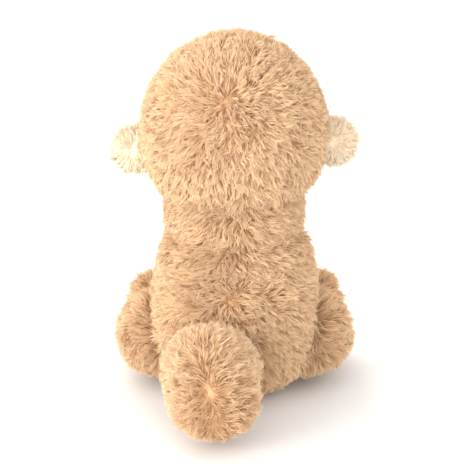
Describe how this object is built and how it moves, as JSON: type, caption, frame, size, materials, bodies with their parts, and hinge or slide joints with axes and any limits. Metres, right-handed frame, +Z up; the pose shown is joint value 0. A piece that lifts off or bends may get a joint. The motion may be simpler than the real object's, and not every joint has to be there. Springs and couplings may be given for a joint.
{
  "type": "stuffed monkey",
  "caption": "Sitting plush monkey with long tan fur, cream round ears, a big round head that turns and nods, soft arms and legs, and a short fluffy tail.",
  "frame": {"origin": "middle of the flat seat that the toy rests on", "axes": "+Z up, the toy looks along -Y, its left side is +X and its tail points along +Y"},
  "size_m": [0.134, 0.1845, 0.2025],
  "materials": {
    "tan_fur": "matte",
    "cream_plush": "matte",
    "stuffing": "matte",
    "bag_cloth": "matte",
    "beads": "satin",
    "brown_thread": "satin",
    "eye_plastic": "gloss",
    "washer_plastic": "matte"
  },
  "bodies": {
    "body": {"body_back_fabric": "tan_fur", "body_belly_fabric": "tan_fur", "seat_fabric": "tan_fur", "body_stuffing": "stuffing", "bead_bag": "bag_cloth", "bead_filling": "beads"},
    "neck": {"neck_fabric": "tan_fur"},
    "neck_core": {"neck_stuffing": "stuffing"},
    "head": {"head_back_fabric": "tan_fur", "head_front_fabric": "tan_fur", "face_fabric": "cream_plush", "muzzle_fabric": "cream_plush", "muzzle_stuffing": "stuffing", "head_stuffing": "stuffing", "left_eye": "eye_plastic", "right_eye": "eye_plastic", "left_eye_washer": "washer_plastic", "right_eye_washer": "washer_plastic", "nose": "brown_thread", "mouth_stitch": "brown_thread"},
    "left_ear": {"left_ear_back_fabric": "cream_plush", "left_ear_front_fabric": "cream_plush"},
    "right_ear": {"right_ear_back_fabric": "cream_plush", "right_ear_front_fabric": "cream_plush"},
    "tail_root": {"tail_root_stuffing": "stuffing"},
    "tail": {"tail_left_fabric": "tan_fur", "tail_right_fabric": "tan_fur", "tail_stuffing": "stuffing"},
    "left_shoulder": {"left_shoulder_stuffing": "stuffing"},
    "left_arm": {"left_arm_fabric": "tan_fur", "left_hand_fabric": "cream_plush", "left_arm_stuffing": "stuffing"},
    "left_hip": {"left_hip_stuffing": "stuffing"},
    "left_leg": {"left_leg_fabric": "tan_fur", "left_sole_pad": "cream_plush", "left_leg_stuffing": "stuffing"},
    "right_shoulder": {"right_shoulder_stuffing": "stuffing"},
    "right_arm": {"right_arm_fabric": "tan_fur", "right_hand_fabric": "cream_plush", "right_arm_stuffing": "stuffing"},
    "right_hip": {"right_hip_stuffing": "stuffing"},
    "right_leg": {"right_leg_fabric": "tan_fur", "right_sole_pad": "cream_plush", "right_leg_stuffing": "stuffing"}
  },
  "joints": [
    {"name": "head_turn", "type": "hinge", "parent": "body", "child": "neck", "pos_m": [0, 0, 0.104], "axis": [0, 0, 1], "range_deg": [-40, 40], "stiffness_Nm_per_rad": 0.4},
    {"name": "head_tilt", "type": "hinge", "parent": "neck", "child": "neck_core", "pos_m": [0, 0, 0.104], "axis": [0, 1, 0], "range_deg": [-15, 15], "stiffness_Nm_per_rad": 0.6},
    {"name": "head_nod", "type": "hinge", "parent": "neck_core", "child": "head", "pos_m": [0, 0, 0.104], "axis": [1, 0, 0], "range_deg": [-15, 12], "stiffness_Nm_per_rad": 0.6},
    {"name": "left_arm_swing", "type": "hinge", "parent": "body", "child": "left_shoulder", "pos_m": [0.028, -0.025, 0.071], "axis": [-1, 0, 0], "range_deg": [0, 40], "stiffness_Nm_per_rad": 0.05},
    {"name": "left_arm_spread", "type": "hinge", "parent": "left_shoulder", "child": "left_arm", "pos_m": [0.028, -0.025, 0.071], "axis": [0, -1, 0], "range_deg": [0, 30], "stiffness_Nm_per_rad": 0.05},
    {"name": "left_leg_splay", "type": "hinge", "parent": "body", "child": "left_hip", "pos_m": [0.042, -0.01, 0.0265], "axis": [0, 0, 1], "range_deg": [0, 25], "stiffness_Nm_per_rad": 0.1},
    {"name": "left_leg_lift", "type": "hinge", "parent": "left_hip", "child": "left_leg", "pos_m": [0.042, -0.01, 0.0265], "axis": [-1, 0, 0], "range_deg": [0, 15], "stiffness_Nm_per_rad": 0.1},
    {"name": "right_arm_swing", "type": "hinge", "parent": "body", "child": "right_shoulder", "pos_m": [-0.028, -0.025, 0.071], "axis": [-1, 0, 0], "range_deg": [0, 40], "stiffness_Nm_per_rad": 0.05},
    {"name": "right_arm_spread", "type": "hinge", "parent": "right_shoulder", "child": "right_arm", "pos_m": [-0.028, -0.025, 0.071], "axis": [0, 1, 0], "range_deg": [0, 30], "stiffness_Nm_per_rad": 0.05},
    {"name": "right_leg_splay", "type": "hinge", "parent": "body", "child": "right_hip", "pos_m": [-0.042, -0.01, 0.0265], "axis": [0, 0, -1], "range_deg": [0, 25], "stiffness_Nm_per_rad": 0.1},
    {"name": "right_leg_lift", "type": "hinge", "parent": "right_hip", "child": "right_leg", "pos_m": [-0.042, -0.01, 0.0265], "axis": [-1, 0, 0], "range_deg": [0, 15], "stiffness_Nm_per_rad": 0.1},
    {"name": "tail_wag", "type": "hinge", "parent": "body", "child": "tail_root", "pos_m": [0, 0.04, 0.028], "axis": [0, 0, 1], "range_deg": [-20, 20], "stiffness_Nm_per_rad": 0.05},
    {"name": "tail_lift", "type": "hinge", "parent": "tail_root", "child": "tail", "pos_m": [0, 0.04, 0.028], "axis": [1, 0, 0], "range_deg": [0, 30], "stiffness_Nm_per_rad": 0.05},
    {"name": "left_ear_fold", "type": "hinge", "parent": "head", "child": "left_ear", "pos_m": [0.048, 0.002, 0.138], "axis": [0, 0, -1], "range_deg": [-25, 25], "stiffness_Nm_per_rad": 0.01},
    {"name": "right_ear_fold", "type": "hinge", "parent": "head", "child": "right_ear", "pos_m": [-0.048, 0.002, 0.1425], "axis": [0, 0, 1], "range_deg": [-25, 25], "stiffness_Nm_per_rad": 0.01}
  ]
}
